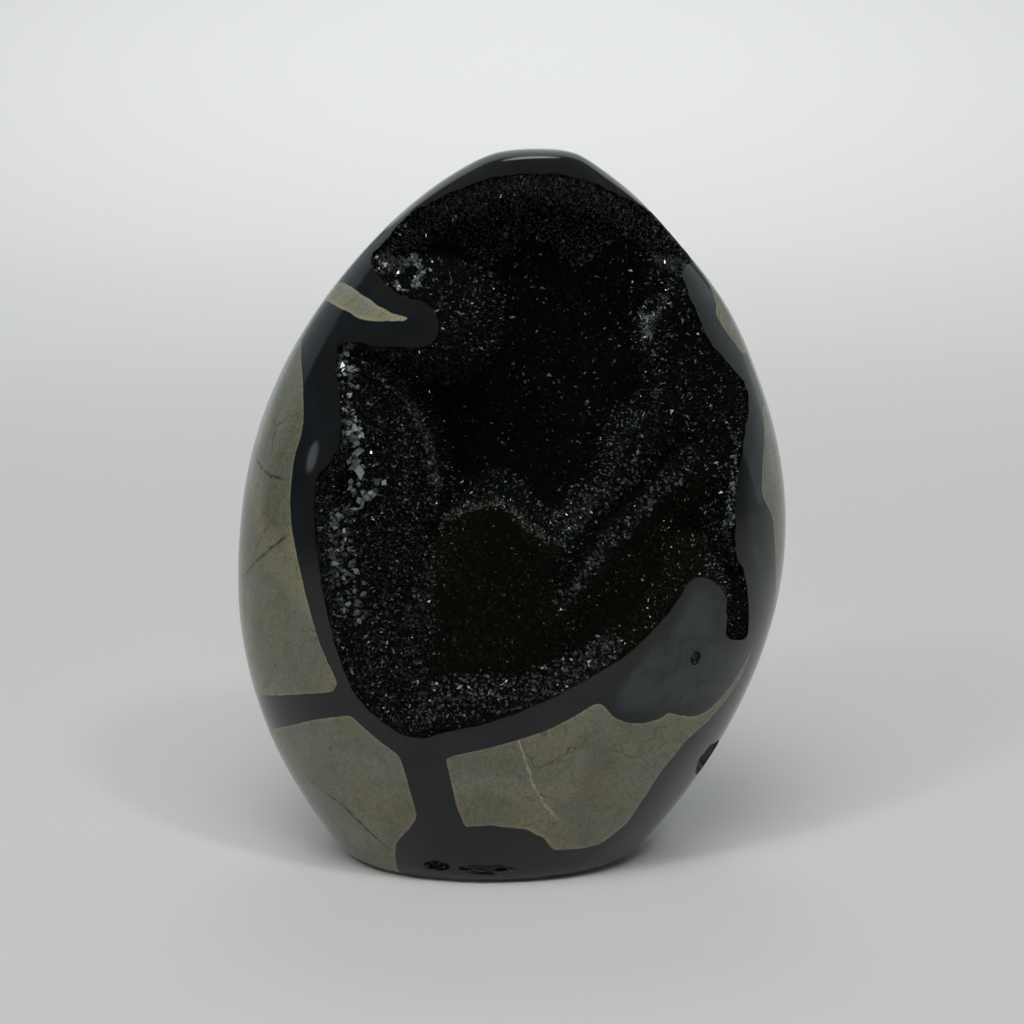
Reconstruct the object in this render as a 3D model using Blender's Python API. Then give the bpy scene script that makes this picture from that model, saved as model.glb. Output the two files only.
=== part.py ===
"""A septarian nodule, polished to an egg that stands on a small flat, with its hollow lined by one crust of crystals.

Metres, +Z up. The flat lies in z = 0, the hollow opens towards -Y, and +X is on the right of someone who looks
into it. Plans of the hollow are drawn in millimetres, as (x, z) pairs seen from the front.
"""

import math
import random

import bmesh
import bpy
import numpy as np
from mathutils import Vector
from mathutils.geometry import delaunay_2d_cdt

MM = 0.001

# The stone.
HEIGHT = 150.0
WIDTH = 115.0
DEPTH_SHARE = 0.78  # front to back, as a share of the width
FLAT_CUT = 18.2  # what the flat takes off the egg's blunt end
FLAT_EDGE = 4.0  # polished round between the flat and the side
EGG_TAPER = (0.016, 0.246)  # how the egg's half-width departs from an ellipse
LEAN = (-4.8, 10.0, -1.3)  # sideways run of the egg's middle from the flat to the tip
TIP = (0.5, 1.3, 1.2, 3.0)  # how much blunter the tip is, over what height, and how far it leans, over what height
# Where the sides stand out from the egg or fall short of it: side, height, reach and amount.
BULGES = [
    (-1, 113, 24, 0.8), (-1, 68, 17, -0.6), (-1, 24, 16, 0.4),
    (1, 116, 9, 0.5), (1, 133, 7, -0.5), (1, 60, 25, 0.25),
]  # fmt: skip

# The hollow and its crust.
CRUST = 2.4  # thickness of the crystal crust, without its points
GAP = 0.35  # clearance between the crust and the stone
RIM_STEP = 1.0  # how far the crystals start below the polish
RIM_SLOPE = 3.5  # steepness of the wall under the rim
SIDE_SLOPE = 2.6  # the same where the rim runs along the stone's side
SIDE_RIM = (-3.4, 135.0, 6.0, 3.5)  # y of the crystals there: furthest back, at what height, over what reach, fall
BOWL = ((5.0, 100.0), (34.0, 48.0), 16.0)  # middle, half-sizes and deepest y of the back of the hollow
CLIFF = (-1.0, 3.0)  # the step down into the deep part, measured across its edge
APRON = (-14.0, 78.0, 0.62, 0.05)  # y of the slope below the deep part, at what height, its rise below and above that
LEFT_LOBE = (-20.0, -29.0, 0.045)  # y and x of the lobe's crest, and how fast it falls away
RIGHT_WALL = (-9.0, 24.0, -0.6)  # y of the right-hand wall, at what x, and its rise
LUMPS = 0.7  # height of the small lumps all over the wall
BLEND = 4.0  # over what difference in depth one form of the wall runs into the next
WALL_PITCH = 4.6  # between neighbouring corners of the stone's wall
RIM_CLEAR = (1.6, 1.0)  # how far the corners of the wall and of the crystals stay from the rim
CRYSTAL_PITCH = 2.3  # between neighbouring corners of the crystals
CRYSTAL_SPACING = 3.7  # between neighbouring crystal points
CRYSTAL_HEIGHT = (0.9, 2.2)
CRYSTAL_FOOT = -0.2  # height of the corners between the points
CRYSTAL_FADE = 4.0  # over what distance from the rim the points grow to their full height
STEEPEST = 1.8  # the most that a steep wall lengthens its points

# The rim of the hollow, anticlockwise from the tip. The last stretch runs past the stone's side.
RIM = [
    (-0.7, 145.3), (-5.7, 144.3), (-10.7, 142.4), (-14.4, 140.8), (-18.2, 138.8), (-21.7, 136.3), (-24.5, 133.5),
    (-26.9, 130.8), (-28.7, 128.3), (-27.6, 125.8), (-22.4, 122), (-18, 121.2), (-15.2, 119.2), (-14.7, 116),
    (-16.2, 113.2), (-21.2, 112.6), (-27.3, 112.4), (-32, 112.8), (-34.8, 111.8), (-35.4, 108), (-34.4, 101.6),
    (-34.4, 94), (-36.4, 89.6), (-38.9, 86.2), (-39.7, 80), (-38.8, 70.2), (-37.2, 60.2), (-34.8, 51.1),
    (-31.5, 43.4), (-27.5, 38.9), (-22.4, 35.6), (-18, 34.8), (-12.4, 36.5), (-4.4, 38.8), (3.6, 41.8),
    (10.5, 45.1), (17.5, 48.9), (23.5, 52.7), (28.5, 57.3), (32, 62), (34.2, 66.2), (36.8, 68.4), (39.8, 67.4),
    (42, 63.8), (42.6, 58.6), (42.2, 53.2), (45, 51.6), (48.4, 52), (48.4, 57.6), (47.2, 65.5), (45.4, 70),
    (44.9, 77.2), (45.5, 85), (47.1, 92.5), (48.4, 100), (48, 104), (45.5, 108.3), (41.8, 113.3), (38.9, 118.3),
    (36.6, 122.4), (35.2, 125.2), (36.6, 126.7), (37.6, 127.4), (35.5, 130), (33.5, 132.3), (31.6, 134.3),
    (29.6, 136.3), (26.8, 138.2), (22.6, 140.7), (18, 143), (14.2, 144.4), (9.2, 145.5), (4.3, 145.7),
]  # fmt: skip
# The edge of the deep part: under the shelf, down the left lobe, over the mound and up the right-hand wall.
DEEP_EDGE = [
    (-40, 156), (-42, 119), (-31, 112), (-26.6, 107.5), (-22.5, 102.5), (-19.7, 96.3), (-17, 90.3),
    (-15.6, 82), (-15.8, 74.5), (-13.4, 75.2), (-9.5, 77.3), (-3.9, 78.6), (0, 77.3), (2.3, 74.4), (5.1, 71.5),
    (8.9, 69.8), (14.3, 74.4), (19, 80.2), (21.7, 87.4), (23.7, 92.2), (26, 94.7), (29.6, 98), (29.8, 104.2),
    (27.7, 110.2), (28.7, 114.3), (34.7, 124.4), (52, 130), (52, 156),
]  # fmt: skip
# Ridges (negative) and troughs (positive) of the shallow part: line, half-width, height.
FOLDS = [
    ([(-16, 72), (-19, 66), (-23, 57), (-24, 46), (-22, 39)], 4.0, 8.0),  # channel beside the mound
    ([(10.5, 62), (13, 66), (18, 72.4), (26.4, 80.7), (30.4, 85), (36, 92)], 2.6, 4.5),  # groove behind the ridge
    ([(8.8, 57), (16, 63), (20, 69.3), (29, 77.4), (34.6, 84), (44, 86.5)], 3.2, -3.5),  # ridge to the right
    ([(-3.5, 76), (-5, 62), (-6, 50)], 9.0, -3.5),  # back of the mound
    ([(36, 71), (38, 72)], 5.0, 5.0),  # dip above the knob
    ([(-30, 100), (-31, 80), (-28, 62)], 3.5, -2.5),  # back of the left lobe
]
# Chips that the polish didn't reach: middle (x, y, z) and half-sizes.
CHIPS = [
    ((43.2, -13.5, 24.0), (3.0, 4.2, 4.4)),
    ((35.5, -13.0, 11.5), (1.6, 2.2, 2.2)),
    ((-5.5, -26.5, 3.6), (6.5, 2.6, 1.5)),
    ((-15.5, -24.5, 4.4), (3.0, 2.2, 1.4)),
]

STONE_COLOUR = (0.13, 0.13, 0.105, 1.0)
CRUST_COLOUR = (0.012, 0.012, 0.011, 1.0)


def clear_scene():
    for item in list(bpy.data.objects):
        bpy.data.objects.remove(item, do_unlink=True)


# Plane geometry of the plans.


def smooth_loop(points, steps):
    """A closed Catmull-Rom curve through the points, with so many steps from each to the next."""
    p = np.array(points, float)
    before, after, beyond = np.roll(p, 1, 0), np.roll(p, -1, 0), np.roll(p, -2, 0)
    curve = []
    for k in range(steps):
        t = k / steps
        curve.append(
            0.5
            * (
                2 * p
                + (after - before) * t
                + (2 * before - 5 * p + 4 * after - beyond) * t**2
                + (3 * p - before - 3 * after + beyond) * t**3
            )
        )
    return np.stack(curve, 1).reshape(-1, 2)


def distance_to_line(points, line, closed=False):
    """How far each point lies from a chain of straight runs."""
    line = np.array(line, float)
    starts, ends = (line, np.roll(line, -1, 0)) if closed else (line[:-1], line[1:])
    nearest = np.full(len(points), np.inf)
    for a, b in zip(starts, ends):
        run = b - a
        share = np.clip((points - a) @ run / max(run @ run, 1e-12), 0, 1)
        nearest = np.minimum(nearest, np.hypot(*(points - a - share[:, None] * run).T))
    return nearest


def depth_inside(points, loop):
    """Distance to a closed loop, positive inside it."""
    x, z = points.T
    inside = np.zeros(len(points), bool)
    for (ax, az), (bx, bz) in zip(loop, np.roll(loop, -1, 0)):
        if az != bz:
            inside ^= ((az > z) != (bz > z)) & (x < (bx - ax) * (z - az) / (bz - az) + ax)
    return np.where(inside, 1, -1) * distance_to_line(points, loop, closed=True)


def smooth_step(value, low, high):
    t = np.clip((value - low) / (high - low), 0, 1)
    return t * t * (3 - 2 * t)


def smooth_min(a, b, reach):
    blend = np.maximum(reach - np.abs(a - b), 0) / reach
    return np.minimum(a, b) - blend**2 * reach / 4


# The form of the stone, in millimetres.


def egg_section(z):
    """Half-width, half-depth and middle x of the level cut at height z."""
    cosine = np.clip(1 - 2 * (z + FLAT_CUT) / (HEIGHT + FLAT_CUT), -1, 1)
    half = WIDTH / 2 * np.sqrt(1 - cosine**2) * (1 - EGG_TAPER[0] * cosine - EGG_TAPER[1] * cosine**2)
    half = half * (1 + TIP[0] * np.exp((z - HEIGHT) / TIP[1]))
    share = z / HEIGHT
    middle = LEAN[0] + LEAN[1] * share + LEAN[2] * share**3 + TIP[2] * np.exp((z - HEIGHT) / TIP[3])
    for side, height, reach, amount in BULGES:
        bulge = amount / 2 * np.exp(-(((z - height) / reach) ** 2))
        half, middle = half + bulge, middle + side * bulge
    return half, half * DEPTH_SHARE, middle


def polished_front(x, z):
    """The y of the polished front, and 0 past the stone's side."""
    half, deep, middle = egg_section(z)
    across = (x - middle) / np.maximum(half, 1e-6)
    return -deep * np.sqrt(np.clip(1 - across**2, 0, 1))


def crystal_front(points):
    """The y of the crystal-covered wall of the hollow at each (x, z)."""
    x, z = points.T
    (bowl_x, bowl_z), (bowl_width, bowl_height), deepest = BOWL
    bowl = deepest * (1 - ((x - bowl_x) / bowl_width) ** 2 - ((z - bowl_z) / bowl_height) ** 2)

    apron_y, apron_z, rise_below, rise_above = APRON
    apron = apron_y + np.where(z < apron_z, rise_below, rise_above) * (z - apron_z)
    lobe_y, lobe_x, curve = LEFT_LOBE
    left_lobe = lobe_y + curve * (x - lobe_x) ** 2
    wall_y, wall_x, rise = RIGHT_WALL
    right_wall = wall_y + rise * (x - wall_x)
    shallow = smooth_min(smooth_min(apron, left_lobe, BLEND), right_wall, BLEND)
    for line, half_width, height in FOLDS:
        shallow = shallow + height * np.exp(-((distance_to_line(points, line) / half_width) ** 2))

    deep = smooth_step(depth_inside(points, smooth_loop(DEEP_EDGE, 3)), *CLIFF)
    wall = shallow + (bowl - shallow) * deep
    wall = wall + LUMPS * np.sin(x / 2.9 + 1.4 * np.sin(z / 5.3)) * np.sin(z / 3.4 + 1.2 * np.sin(x / 6.1))

    polish = polished_front(x, z)
    under_rim = polish + RIM_STEP + RIM_SLOPE * np.maximum(depth_inside(points, smooth_loop(RIM, 3)), 0)
    wall = np.maximum(smooth_min(wall, under_rim, 3), polish + RIM_STEP / 2)
    return np.minimum(wall, beside_rim(x, z))


def beside_rim(x, z):
    """The y that the crystals can't go beyond where the rim runs along the stone's side."""
    half, _, middle = egg_section(z)
    back, height, reach, fall = SIDE_RIM
    rim = back - fall * (1 - np.exp(-(((z - height) / reach) ** 2)))
    return rim + SIDE_SLOPE * np.maximum(half - np.abs(x - middle), 0)


def wall_behind(points, thickness):
    """The y of a wall that keeps a thickness behind the crystal-covered one, whatever its slope."""
    deepest = crystal_front(points) + thickness
    for share in (0.4, 0.75, 1.0):
        for turn in range(8):
            angle = turn * math.pi / 4 + share
            shift = share * thickness * np.array([math.cos(angle), math.sin(angle)])
            deepest = np.maximum(deepest, crystal_front(points + shift) + thickness * math.sqrt(1 - share**2))
    return np.minimum(deepest, beside_rim(*points.T) + thickness)


def crystal_slope(points, step=0.4):
    """Steepness of the crystal-covered wall."""
    changes = [
        crystal_front(points + shift) - crystal_front(points - np.array(shift))
        for shift in ((step, 0), (0, step))
    ]
    return np.hypot(*changes) / (2 * step)


# Meshes.


def spread_points(loop, margin, depth_at, pitch, chance):
    """Points inside a loop that lie about a pitch apart along a wall, however steep it is."""
    low, high = loop.min(0), loop.max(0)
    fine = pitch / 4
    grid = np.stack(np.meshgrid(np.arange(low[0], high[0], fine), np.arange(low[1], high[1], fine)), -1)
    grid = grid.reshape(-1, 2)
    grid = grid[depth_inside(grid, loop) > margin]
    places = np.column_stack([grid, depth_at(grid)])
    order = list(range(len(places)))
    chance.shuffle(order)
    return grid[apart(places, order, pitch)]


def apart(places, order, spacing):
    """Numbers of the places, taken in order, that keep a spacing from all those taken before."""
    taken = []
    free = np.ones(len(places), bool)
    for number in order:
        if free[number]:
            taken.append(number)
            free &= ((places - places[number]) ** 2).sum(1) > spacing**2
    return taken


def triangulated(loop, inner):
    """Triangles that fill a loop and pass through the inner points; the loop's points come first."""
    plan = [Vector(point) for point in np.vstack([loop, inner])]
    points, _, faces, sources, _, _ = delaunay_2d_cdt(plan, [], [list(range(len(loop)))], 1, 1e-6)
    order = [source[0] for source in sources]
    return [tuple(order[corner] for corner in face) for face in faces]


def mesh_object(name, mesh, colour, roughness):
    data = bpy.data.meshes.new(name)
    mesh.to_mesh(data)
    mesh.free()
    item = bpy.data.objects.new(name, data)
    bpy.context.collection.objects.link(item)
    material = bpy.data.materials.new(name)
    material.use_nodes = True
    shader = material.node_tree.nodes["Principled BSDF"]
    shader.inputs["Base Color"].default_value = colour
    shader.inputs["Roughness"].default_value = roughness
    material.diffuse_color = colour
    data.materials.append(material)
    return item


def helper_object(name, mesh):
    item = mesh_object(name, mesh, STONE_COLOUR, roughness=0.5)
    item.hide_render = True
    item.display_type = "WIRE"
    return item


def add_boolean(item, other, operation):
    modifier = item.modifiers.new(other.name, "BOOLEAN")
    modifier.object = other
    modifier.operation = operation
    modifier.solver = "EXACT"


def egg_mesh(segments, rings, inset=0.0):
    """The whole polished egg, cut flat at z = 0, with the edge of the flat rounded."""
    mesh = bmesh.new()
    bmesh.ops.create_uvsphere(mesh, u_segments=segments, v_segments=rings, radius=1)
    for vertex in mesh.verts:
        z = (HEIGHT + FLAT_CUT) * (1 + vertex.co.z) / 2 - FLAT_CUT
        half, deep, middle = egg_section(z)
        reach = math.hypot(vertex.co.x, vertex.co.y) or 1
        x = middle + (half - inset) * vertex.co.x / reach * (half > inset)
        y = (deep - inset) * vertex.co.y / reach * (deep > inset)
        vertex.co = Vector((x, y, z - inset * max(vertex.co.z, 0))) * MM
    everything = mesh.verts[:] + mesh.edges[:] + mesh.faces[:]
    bmesh.ops.bisect_plane(mesh, geom=everything, plane_co=(0, 0, 0), plane_no=(0, 0, 1), clear_inner=True)
    rim = [edge for edge in mesh.edges if edge.is_boundary]
    bmesh.ops.holes_fill(mesh, edges=rim, sides=0)
    bmesh.ops.bevel(
        mesh, geom=rim, offset=FLAT_EDGE * MM, affect="EDGES", segments=4, profile=0.5, material=-1
    )
    bmesh.ops.recalc_face_normals(mesh, faces=mesh.faces)
    return mesh


def raise_wall(mesh, plan, depths, faces):
    """Adds a wall of triangles at the given depths to a mesh, and returns its corners and faces."""
    corners = [mesh.verts.new(Vector((x, y, z)) * MM) for (x, z), y in zip(plan, depths)]
    return corners, [mesh.faces.new([corners[i] for i in face]) for face in faces]


def stone_wall_net():
    """Plan and triangles of the wall between the stone and the crust; the rim's points come first."""
    rim = smooth_loop(RIM, 2)
    inner = spread_points(rim, RIM_CLEAR[0], lambda p: wall_behind(p, CRUST), WALL_PITCH, random.Random(3))
    return np.vstack([rim, inner]), triangulated(rim, inner), len(rim)


def hollow_cutter(plan, faces, rim_count):
    """What is taken out of the egg: from in front of the stone back to the wall behind the crust."""
    mesh = bmesh.new()
    depths = np.maximum(wall_behind(plan, CRUST + GAP), wall_behind(plan, CRUST) + GAP)
    depths[:rim_count] += 2 * GAP
    _, wall = raise_wall(mesh, plan, depths, faces)
    for item in bmesh.ops.extrude_face_region(mesh, geom=wall)["geom"]:
        if isinstance(item, bmesh.types.BMVert):
            item.co.y = -WIDTH * MM
    bmesh.ops.recalc_face_normals(mesh, faces=mesh.faces)
    return mesh


def inward(points, loop, distance):
    """Points on a loop, moved a distance towards the loop's inside."""
    step = 0.05
    slope = [
        depth_inside(points + shift, loop) - depth_inside(points - np.array(shift), loop)
        for shift in ((step, 0), (0, step))
    ]
    direction = np.stack(slope, 1)
    return points + distance * direction / np.maximum(np.hypot(*direction.T), 1e-6)[:, None]


def crust_mesh(plan, faces, rim_count):
    """A crust that follows the stone's wall at a small gap, its open side covered with crystal points."""
    mesh = bmesh.new()
    edge = inward(plan[:rim_count], plan[:rim_count], GAP)
    back_plan = np.vstack([edge, plan[rim_count:]])
    back, _ = raise_wall(mesh, back_plan, wall_behind(plan, CRUST), faces)

    chance = random.Random(7)
    inner = spread_points(edge, RIM_CLEAR[1], crystal_front, CRYSTAL_PITCH, chance)
    places = np.column_stack([inner, crystal_front(inner)])
    lift = np.full(len(inner), CRYSTAL_FOOT)
    for tip in apart(places, range(len(places)), CRYSTAL_SPACING):
        lift[tip] = chance.uniform(*CRYSTAL_HEIGHT)
    lift = lift * np.minimum(np.sqrt(1 + crystal_slope(inner) ** 2), STEEPEST)
    lift = lift * np.clip(depth_inside(inner, edge) / CRYSTAL_FADE, 0, 1)
    front_plan = np.vstack([edge, inner])
    depths = crystal_front(front_plan) - np.append(np.zeros(rim_count), lift)
    front, _ = raise_wall(mesh, front_plan, depths, triangulated(edge, inner))

    for i in range(rim_count):
        j = (i + 1) % rim_count
        mesh.faces.new((back[i], back[j], front[j]))
        mesh.faces.new((back[i], front[j], front[i]))
    bmesh.ops.recalc_face_normals(mesh, faces=mesh.faces)
    return mesh


def chip_mesh(middle, half_sizes):
    """A small rough hollow."""
    mesh = bmesh.new()
    bmesh.ops.create_icosphere(mesh, subdivisions=2, radius=1)
    for vertex in mesh.verts:
        rough = 1 + 0.16 * math.sin(7 * vertex.co.x + 2) * math.sin(6 * vertex.co.z + 5 * vertex.co.y)
        vertex.co = (Vector(middle) + Vector(half_sizes) * vertex.co * rough) * MM
    return mesh


def make_stone(cutter):
    stone = mesh_object("nodule", egg_mesh(52, 34), STONE_COLOUR, roughness=0.15)
    add_boolean(stone, helper_object("hollow_cutter", cutter), "DIFFERENCE")
    for number, (middle, half_sizes) in enumerate(CHIPS):
        chip = helper_object(f"chip_{number}", chip_mesh(middle, half_sizes))
        add_boolean(stone, chip, "DIFFERENCE")
    stone.data.shade_smooth()
    stone.data.set_sharp_from_angle(angle=math.radians(35))


def make_crust(mesh):
    crust = mesh_object("crystal_crust", mesh, CRUST_COLOUR, roughness=0.12)
    add_boolean(crust, helper_object("polish_limit", egg_mesh(72, 48, inset=0.3)), "INTERSECT")


def main():
    clear_scene()
    plan, faces, rim_count = stone_wall_net()
    make_stone(hollow_cutter(plan, faces, rim_count))
    make_crust(crust_mesh(plan, faces, rim_count))


main()
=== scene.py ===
"""The looks of a septarian nodule: a polished egg of pale mudstone panels and dark calcite veins, and the
fine dark crystals that line its open hollow.

The frame is in metres. Sizes here are in millimetres. The hollow is drawn as plans seen from the front,
(x, z), and the pattern on the polish as directions from the nodule's middle, in degrees: round from the
front, and up from level.
"""

import math

import bmesh
import bpy
import numpy as np
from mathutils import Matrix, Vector, noise


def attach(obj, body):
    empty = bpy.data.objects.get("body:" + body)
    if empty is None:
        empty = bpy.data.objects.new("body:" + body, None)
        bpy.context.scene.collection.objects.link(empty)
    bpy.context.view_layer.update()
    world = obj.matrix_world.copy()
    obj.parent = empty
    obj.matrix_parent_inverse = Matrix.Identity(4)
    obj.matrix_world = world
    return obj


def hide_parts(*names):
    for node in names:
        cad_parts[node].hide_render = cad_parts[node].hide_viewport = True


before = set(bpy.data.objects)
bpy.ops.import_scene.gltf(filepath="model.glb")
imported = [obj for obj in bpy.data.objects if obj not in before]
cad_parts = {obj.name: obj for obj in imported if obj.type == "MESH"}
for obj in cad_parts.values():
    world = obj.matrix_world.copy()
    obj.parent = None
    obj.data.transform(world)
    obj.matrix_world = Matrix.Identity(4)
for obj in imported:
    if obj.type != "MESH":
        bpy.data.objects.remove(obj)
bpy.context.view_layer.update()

MM = 0.001

# The stone's form.
HEIGHT = 150.0
WIDTH = 115.0
DEPTH_SHARE = 0.78  # front to back, as a share of the width
FLAT_CUT = 18.2  # what the flat takes off the egg's blunt end
FLAT_EDGE = 4.0  # polished round between the flat and the side
EGG_TAPER = (0.016, 0.246)  # how the egg's half-width departs from an ellipse
LEAN = (-4.8, 10.0, -1.3)  # sideways run of the egg's middle from the flat to the tip
# How much blunter the tip is, over what height, and how far it leans, over what height.
TIP = (0.5, 1.3, 1.2, 3.0)
# Where the sides stand out from the egg or fall short of it: side, height, reach and amount.
BULGES = [
    (-1, 113, 24, 0.8), (-1, 68, 17, -0.6), (-1, 24, 16, 0.4),
    (1, 116, 9, 0.5), (1, 133, 7, -0.5), (1, 60, 25, 0.25),
]
EGG_STEPS = 120  # along each edge of the cube that the egg is rounded from

# The hollow.
CRUST = 2.4  # thickness of the crystal crust
RIM_STEP = 1.0  # how far the crystals start below the polish
RIM_SLOPE = 3.5  # steepness of the wall under the rim
SIDE_SLOPE = 2.6  # the same where the rim runs along the stone's side
# The y of the crystals there: furthest back, at what height, over what reach, and how far it falls.
SIDE_RIM = (-3.4, 135.0, 6.0, 3.5)
BOWL = ((5.0, 100.0), (34.0, 48.0), 16.0)  # middle, half-sizes and deepest y of the back of the hollow
CLIFF = (-1.0, 3.0)  # the step down into the deep part, measured across its edge
# The y of the slope below the deep part, at what height, and its rise below and above that height.
APRON = (-14.0, 78.0, 0.62, 0.05)
LEFT_LOBE = (-20.0, -29.0, 0.045)  # y and x of the lobe's crest, and how fast it falls away
RIGHT_WALL = (-9.0, 24.0, -0.6)  # y of the right-hand wall, at what x, and its rise
LUMPS = 0.7  # height of the lumps all over the wall
BLEND = 4.0  # over what difference in depth one form of the wall runs into the next
HOLLOW_BOX = (-42.0, 54.0, 32.0, 149.0)  # x and z of a plan that holds the whole hollow
WALL_PITCH = 2.4  # grid of the stone's wall behind the crust
BED_PITCH = 1.1  # grid of the crust's open side
BED_EDGE = 1.7  # longest edge left in it
BED_OVERLAP = 0.3  # how far the crust runs into the stone
BED_INSET = 0.25  # how far it stays below the polish
LIMIT_STEPS = 60  # as EGG_STEPS, for the egg that the crust stays in
RAGGED = (0.3, 2.3)  # how uneven the rim's edge is, and over what length

# The rim of the hollow, anticlockwise from the tip. The last stretch runs past the stone's side.
RIM = [
    (-0.7, 145.3), (-5.7, 144.3), (-10.7, 142.4), (-14.4, 140.8), (-18.2, 138.8), (-21.7, 136.3),
    (-24.5, 133.5),
    (-26.9, 130.8), (-28.7, 128.3), (-27.6, 125.8), (-22.4, 122), (-18, 121.2), (-15.2, 119.2),
    (-14.7, 116),
    (-16.2, 113.2), (-21.2, 112.6), (-27.3, 112.4), (-32, 112.8), (-34.8, 111.8), (-35.4, 108),
    (-34.4, 101.6),
    (-34.4, 94), (-36.4, 89.6), (-38.9, 86.2), (-39.7, 80), (-38.8, 70.2), (-37.2, 60.2), (-34.8, 51.1),
    (-31.5, 43.4), (-27.5, 38.9), (-22.4, 35.6), (-18, 34.8), (-12.4, 36.5), (-4.4, 38.8), (3.6, 41.8),
    (10.5, 45.1), (17.5, 48.9), (23.5, 52.7), (28.5, 57.3), (32.2, 61.3), (34.6, 65), (37, 66.8),
    (40, 65.8),
    (42.5, 62.8), (43.5, 58.4), (43.4, 53.6), (45.4, 51.8), (48.2, 52.4), (48.2, 57.6), (47.2, 65.5),
    (45.4, 70),
    (44.9, 77.2), (45.5, 85), (47.1, 92.5), (48.2, 100), (47.2, 103.6), (43.9, 107.6), (40.0, 112.4),
    (37.6, 117.6),
    (35.6, 122.2), (34.6, 125.4), (36.4, 126.9), (37.6, 127.4), (35.5, 130), (33.5, 132.3), (31.6, 134.3),
    (29.6, 136.3), (26.8, 138.2), (22.6, 140.7), (18, 143), (14.2, 144.4), (9.2, 145.5), (4.3, 145.7),
]
# The edge of the deep part: under the shelf, down the left lobe, over the mound and up the right-hand wall.
DEEP_EDGE = [
    (-40, 156), (-42, 119), (-31, 112), (-26.6, 107.5), (-22.5, 102.5), (-19.7, 96.3), (-17, 90.3),
    (-15.6, 82), (-15.8, 74.5), (-13.4, 75.2), (-9.5, 77.3), (-3.9, 78.6), (0, 77.3), (2.3, 74.4),
    (5.1, 71.5),
    (8.9, 69.8), (14.3, 74.4), (19, 80.2), (21.7, 87.4), (23.7, 92.2), (26, 94.7), (29.6, 98),
    (29.8, 104.2),
    (27.7, 110.2), (28.7, 114.3), (34.7, 124.4), (52, 130), (52, 156),
]
# Ridges (negative) and troughs (positive) of the shallow part: line, half-width, height.
FOLDS = [
    ([(-16, 72), (-19, 66), (-23, 57), (-24, 46), (-22, 39)], 4.0, 8.0),  # channel beside the mound
    ([(10.5, 62), (13, 66), (18, 72.4), (26.4, 80.7), (30.4, 85), (36, 92)],
     2.6, 4.5),  # groove behind the ridge
    ([(8.8, 57), (16, 63), (20, 69.3), (29, 77.4), (34.6, 84), (44, 86.5)],
     3.2, -3.5),  # ridge to the right
    ([(-3.5, 76), (-5, 62), (-6, 50)], 9.0, -3.5),  # back of the mound
    ([(36, 71), (38, 72)], 5.0, 5.0),  # dip above the knob
    ([(-30, 100), (-31, 80), (-28, 62)], 3.5, -2.5),  # back of the left lobe
]
# Chips that the polish didn't reach: middle (x, y, z) and half-sizes.
CHIPS = [
    ((41.2, -11.8, 23.3), (3.2, 5.4, 4.6)),
    ((35.5, -13.0, 11.5), (1.6, 2.2, 2.2)),
    ((-5.5, -26.5, 3.6), (6.5, 2.6, 1.5)),
    ((-15.5, -24.5, 4.4), (3.0, 2.2, 1.4)),
    ((36.9, -31.4, 49.5), (1.2, 1.3, 1.9)),
]

# The pattern on the polish, as directions from the nodule's middle.
MIDDLE = np.array([0.0, 0.0, 66.0])
REACH = 56.0  # usual distance from the middle to the polish
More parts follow.
